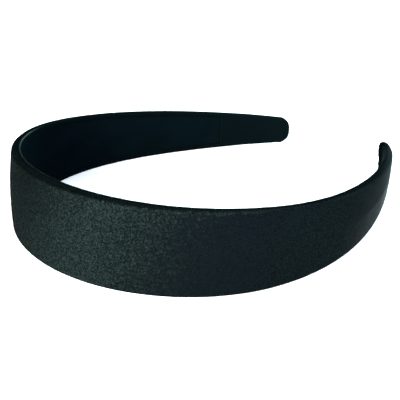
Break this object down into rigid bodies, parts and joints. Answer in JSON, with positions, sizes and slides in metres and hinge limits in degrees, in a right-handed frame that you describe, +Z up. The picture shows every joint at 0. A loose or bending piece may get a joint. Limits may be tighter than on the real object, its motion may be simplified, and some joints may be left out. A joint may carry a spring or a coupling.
{
  "type": "wide headband",
  "caption": "Wide padded headband in black satin, broad at the crown and tapering to two round-cornered tips, with a lining strip along its inner face; it lies on its edge.",
  "frame": {"origin": "under the middle of the band's box, on the surface that the band lies on", "axes": "+X from the tips towards the crown, +Y across the band towards one arm, +Z up, across the band's width"},
  "size_m": [0.1556, 0.132, 0.0312],
  "materials": {
    "satin": "black satin with a fine cool sheen",
    "lining": "smooth near-black ribbon"
  },
  "bodies": {
    "root": {"cover": "satin", "lining": "lining"}
  },
  "joints": []
}
